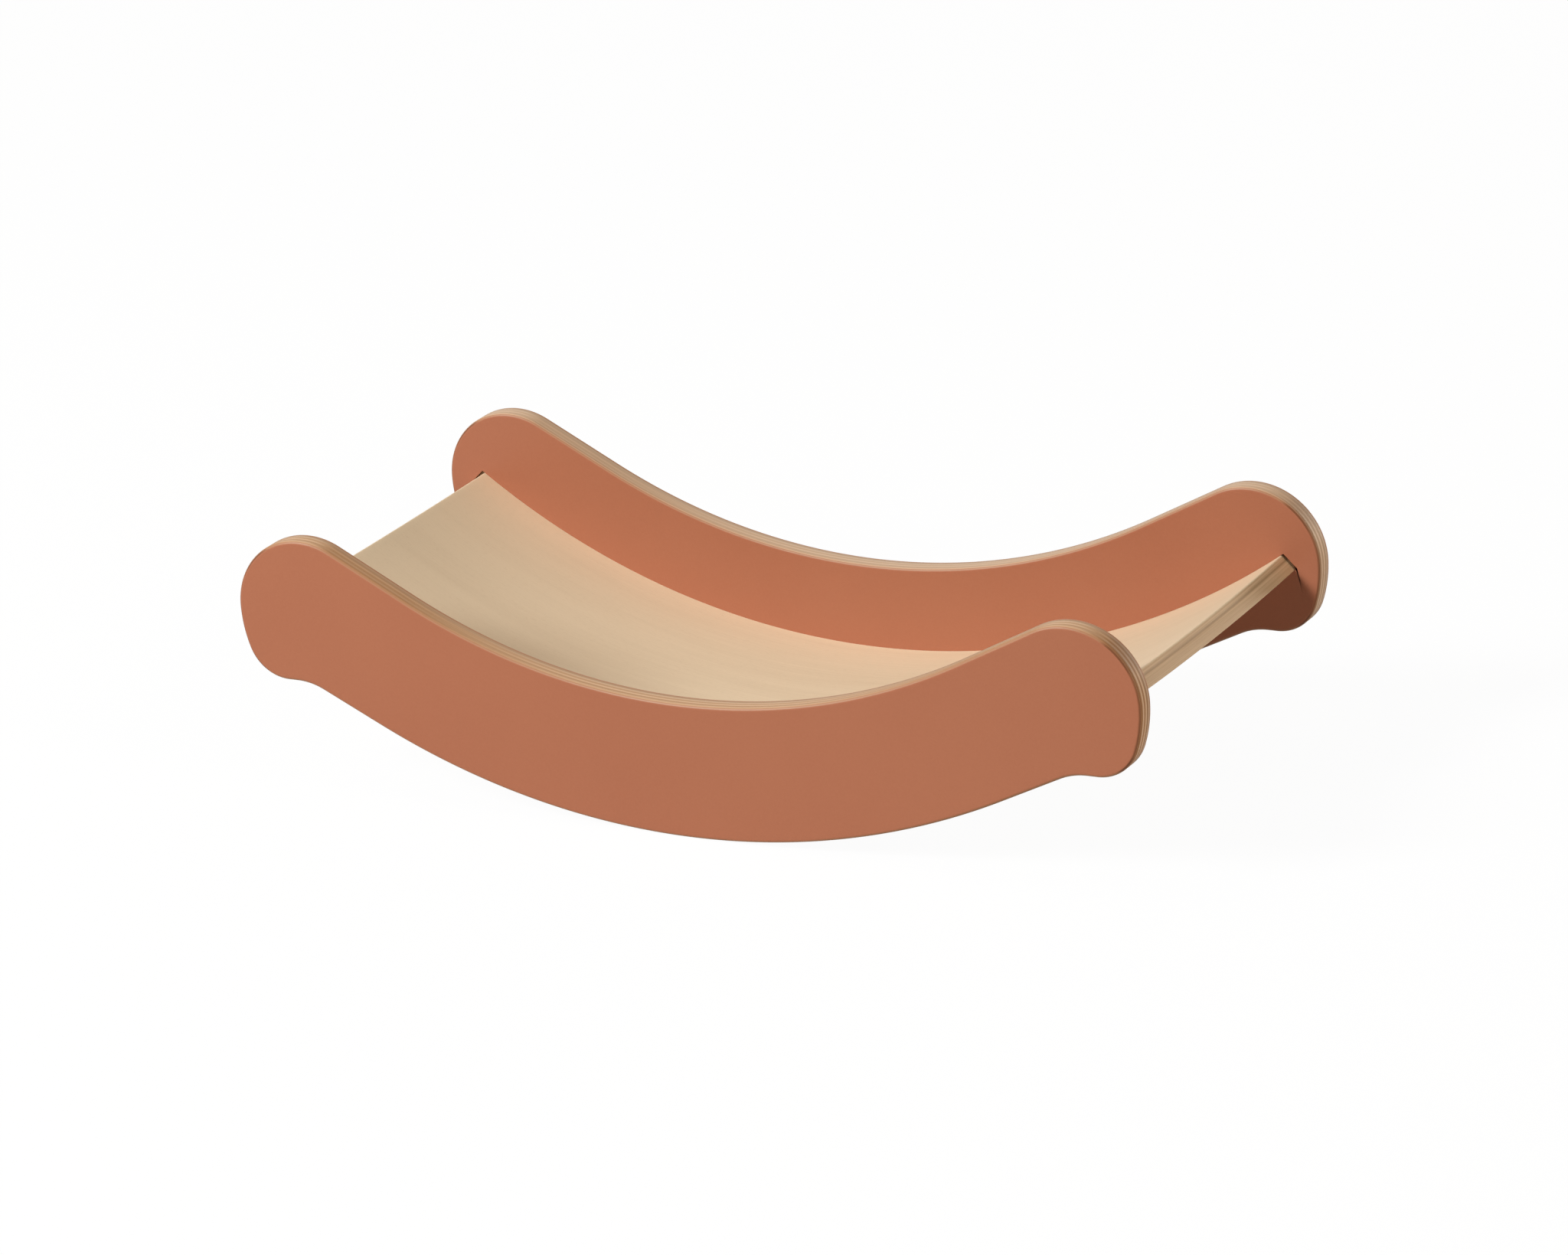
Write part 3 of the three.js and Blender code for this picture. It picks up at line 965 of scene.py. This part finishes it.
# %% Deck plies on edge
deck_ply_thickness = 0.00215
deck_edge_long = colour(220, 189, 153)
deck_edge_end = colour(200, 167, 131)
deck_edge_streak_scales = (900, 9, 900)
deck_end_pore_scales = (160, 2600, 2600)
deck_streak_range = (0.3, 0.7)
deck_pore_range = (0.35, 0.7)
deck_glue = colour(164, 130, 96)
deck_glue_share = 0.30
deck_glue_reach = 0.09
sheet_joint_share = 0.7
sheet_joint_range = (0.0003, 0.0013)


def deck_layers(tree, place, depth):
    """The deck's plies, whose fibres run across the board in every second one, with their glue lines and
    a stronger one where the two sheets meet."""
    in_plies = reckon(tree, "DIVIDE", depth, deck_ply_thickness)
    crossing = every_second(tree, reckon(tree, "FLOOR", in_plies))
    glue = ramp_between(tree, to_joint(tree, in_plies), 0.0, deck_glue_reach, deck_glue_share, 0.0)
    cross_streaks = pulled_noise(tree, place, deck_edge_streak_scales, detail=3.0)
    end_pores = pulled_noise(tree, place, deck_end_pore_scales)
    streak_share = ramp_between(tree, cross_streaks, *deck_streak_range)
    edge = mixed_colour(tree, streak_share, deck_edge_long, deck_edge_end)
    pore_share = ramp_between(tree, end_pores, *deck_pore_range)
    end = mixed_colour(tree, pore_share, deck_edge_end, deck_edge_long)
    layers = mixed_colour(tree, crossing, end, edge)
    layers = mixed_colour(tree, glue, layers, deck_glue)
    from_joint = reckon(tree, "ABSOLUTE", reckon(tree, "SUBTRACT", depth, glue_depth))
    joint = ramp_between(tree, from_joint, *sheet_joint_range, sheet_joint_share, 0.0)
    return mixed_colour(tree, joint, layers, deck_glue)


print("the deck's plies are", deck_ply_thickness * 1000, "mm thick")

# %% Deck finish
top_veneer_fade = (0.0010, 0.0014)
base_veneer_fade = (0.0003, 0.0001)
grain_range = (0.3, 0.7)
lacquer_roughness = (0.48, 0.58)
lacquer_specular = 0.25
deck_pore_relief_share = 0.6
deck_relief = 0.00005


def deck_finish():
    """Veneer on the top and the underside, and the plies between them."""
    finish, tree, shader = new_finish("deck_plywood_finish")
    place = add_node(tree, "ShaderNodeAttribute", attribute_name=bend_attribute).outputs["Vector"]
    parts = add_node(tree, "ShaderNodeSeparateXYZ", {"Vector": place}).outputs
    depth = parts["Z"]
    veneer, grain, pores = deck_veneer(tree, place, parts["X"])
    layers = deck_layers(tree, place, depth)

    below_veneer = ramp_between(tree, depth, *top_veneer_fade)
    base_fade = [deck_thickness - above_underside for above_underside in base_veneer_fade]
    above_base = ramp_between(tree, depth, *base_fade, 1.0, 0.0)
    inside = reckon(tree, "MULTIPLY", below_veneer, above_base)
    whole = mixed_colour(tree, inside, veneer, layers)

    shader.inputs["Specular IOR Level"].default_value = lacquer_specular
    roughness = ramp_between(tree, grain, *grain_range, *lacquer_roughness)
    height = reckon(tree, "ADD", grain, reckon(tree, "MULTIPLY", pores, deck_pore_relief_share))
    dress(tree, shader, whole, roughness, height, deck_relief)
    return finish


deck_wood = deck_finish()
print(deck_wood.name, "has", len(deck_wood.node_tree.nodes), "nodes")

# %% [markdown]
# Dowels
#
# The dowels are hidden in the wood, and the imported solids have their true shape, so those stay as they
# are. Plain beech with fibres along the dowel is all they need.

# %% Dowel finish
beech_light = colour(212, 170, 126)
beech_dark = colour(190, 146, 102)
beech_fleck = colour(150, 104, 66)
beech_streak_scales = (900, 22, 900)
beech_fleck_scales = (2600, 420, 2600)
beech_streak_range = (0.3, 0.7)
beech_fleck_range = (0.6, 0.75)
beech_fleck_share = 0.5
beech_roughness = (0.62, 0.74)
beech_relief = 0.00008


def dowel_finish():
    """Beech with streaks and short flecks, both pulled long along the dowel."""
    finish, tree, shader = new_finish("beech_dowel_finish")
    place = add_node(tree, "ShaderNodeTexCoord").outputs["Object"]
    streaks = pulled_noise(tree, place, beech_streak_scales, detail=3.0, distortion=0.2)
    flecks = pulled_noise(tree, place, beech_fleck_scales, detail=1.0)
    wood = mixed_colour(tree, ramp_between(tree, streaks, *beech_streak_range), beech_light, beech_dark)
    fleck_share = ramp_between(tree, flecks, *beech_fleck_range, 0.0, beech_fleck_share)
    wood = mixed_colour(tree, fleck_share, wood, beech_fleck)
    roughness = ramp_between(tree, streaks, *beech_streak_range, *beech_roughness)
    dress(tree, shader, wood, roughness, streaks, beech_relief)
    return finish


beech = dowel_finish()
print(beech.name, "has", len(beech.node_tree.nodes), "nodes")

# %% [markdown]
# Pieces, bodies and finishes together
#
# Nothing on the board moves against the rest, so every piece rides on the one body. Each finer surface
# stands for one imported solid, which stays in the physics model but is no longer shown.

# %% Finish every piece
def finish_piece(piece, finish, node):
    """Gives a piece its finish and its body, and hides the solid that it stands for."""
    piece.data.materials.append(finish)
    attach(piece, "root")
    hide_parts(node)


for name in sides:
    finish_piece(cores[name], plywood, f"{name}_panel_core")
    finish_piece(outer_sheets[name], laminate, f"{name}_outer_laminate")
    finish_piece(inner_sheets[name], laminate, f"{name}_inner_laminate")
finish_piece(upper_bend, deck_wood, "deck_top_sheet")
finish_piece(lower_bend, deck_wood, "deck_bottom_sheet")

dowels = [solid for name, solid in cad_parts.items() if "dowel" in name]
for dowel in dowels:
    for material_slot in dowel.material_slots:
        material_slot.material = beech

# %% [markdown]
# White floor and air
#
# The picture's ground is plain white without a horizon. Pouring more light on a grey floor would bleach
# the board as well, so the floor and the air are white only to the camera and in reflections. To the rays
# that carry light the floor is a warm light grey and the air is faint.

# %% Floor and air
floor_size = 16.0
floor_gap = 0.0002
floor_to_eye = 0.96
floor_white = colour(255, 255, 255)
floor_bounce = colour(189, 174, 152)
floor_roughness = 0.9
warm_white = (1.0, 0.91, 0.78)
air_level = 0.08


def seen_directly(tree):
    """1 for rays from the camera, off a gloss or through glass, and 0 for the rays that carry light."""
    rays = add_node(tree, "ShaderNodeLightPath").outputs
    either = reckon(tree, "MAXIMUM", rays["Is Camera Ray"], rays["Is Glossy Ray"])
    return reckon(tree, "MAXIMUM", either, rays["Is Transmission Ray"])


def white_floor():
    """A square floor just under the board, which glows nearly white to the rays that see it directly and
    still takes a faint shadow."""
    half = floor_size / 2
    corners = [(x, y, -floor_gap) for x, y in ((-half, -half), (half, -half), (half, half), (-half, half))]
    mesh = bpy.data.meshes.new("studio_floor")
    mesh.from_pydata(corners, [], [(0, 1, 2, 3)])
    floor = bpy.data.objects.new("studio_floor", mesh)
    bpy.context.collection.objects.link(floor)
    finish, tree, shader = new_finish("studio_floor_finish")
    seen = seen_directly(tree)
    tree.links.new(mixed_colour(tree, seen, floor_bounce, floor_white), shader.inputs["Base Color"])
    shader.inputs["Roughness"].default_value = floor_roughness
    glow = add_node(tree, "ShaderNodeEmission", {"Color": floor_white, "Strength": 1.0})
    share = reckon(tree, "MULTIPLY", seen, floor_to_eye)
    either = add_node(tree, "ShaderNodeMixShader", {0: share, 1: shader.outputs[0], 2: glow.outputs[0]})
    output = next(made for made in tree.nodes if made.type == "OUTPUT_MATERIAL")
    tree.links.new(either.outputs[0], output.inputs["Surface"])
    mesh.materials.append(finish)
    return floor


def white_air(light_level):
    """The world: white to the eye, and a warm soft light of this level on the board."""
    world = bpy.data.worlds.new("studio_air")
    bpy.context.scene.world = world
    world.use_nodes = True
    tree = world.node_tree
    air = next(made for made in tree.nodes if made.type == "BACKGROUND")
    seen = seen_directly(tree)
    tree.links.new(mixed_colour(tree, seen, (*warm_white, 1.0), floor_white), air.inputs["Color"])
    tree.links.new(ramp_between(tree, seen, 0.0, 1.0, light_level, 1.0), air.inputs["Strength"])
    return world


floor = white_floor()
air = white_air(air_level)
print(floor.name, "is", floor_size, "m wide, and", air.name, "lights at a level of", air_level)

# %% [markdown]
# Lamps
#
# The board is lit from the front left by a large neutral lamp. Weaker warm ones fill the shadows from the
# left, the right and behind, as light does that comes back from wood and walls. Their powers could be
# found by trial, but a level that says how white a white surface gets is easier to choose.

# %% Lamps
board_middle = np.array([0.0, 0.0, 0.09])
lamp_distance = 7.0
lamp_size = 2.3
back_lamp_size = 1.3
neutral_white = (1.0, 1.0, 1.0)


def soft_lamp(name, azimuth, elevation, size, level, tint):
    """A square lamp that looks at the board's middle, from an azimuth that turns as the camera's does.
    At this level a white surface that faces the lamp shows as that share of white: its power is the
    level times pi squared times the distance squared. A tint then takes a little of its light away."""
    turn = np.radians(azimuth)
    rise = np.radians(elevation)
    towards = np.array([np.sin(turn) * np.cos(rise), -np.cos(turn) * np.cos(rise), np.sin(rise)])
    data = bpy.data.lights.new(name, "AREA")
    data.shape = "SQUARE"
    data.size = size
    data.energy = level * np.pi ** 2 * lamp_distance ** 2
    data.color = tint
    lamp = bpy.data.objects.new(name, data)
    lamp.location = Vector(board_middle + towards * lamp_distance)
    lamp.rotation_mode = "QUATERNION"
    lamp.rotation_quaternion = Vector(towards).to_track_quat("Z", "Y")
    bpy.context.collection.objects.link(lamp)
    print(name, "at", [round(value, 2) for value in lamp.location], "with", round(data.energy, 1), "watts")


soft_lamp("key_lamp", azimuth=-38, elevation=36, size=lamp_size, level=1.09, tint=neutral_white)
soft_lamp("left_top_lamp", azimuth=-90, elevation=60, size=lamp_size, level=0.08, tint=warm_white)
soft_lamp("right_lamp", azimuth=80, elevation=28, size=lamp_size, level=0.26, tint=warm_white)
soft_lamp("back_lamp", azimuth=160, elevation=6, size=back_lamp_size, level=0.38, tint=warm_white)

# %% View
bpy.context.scene.view_settings.view_transform = "Standard"
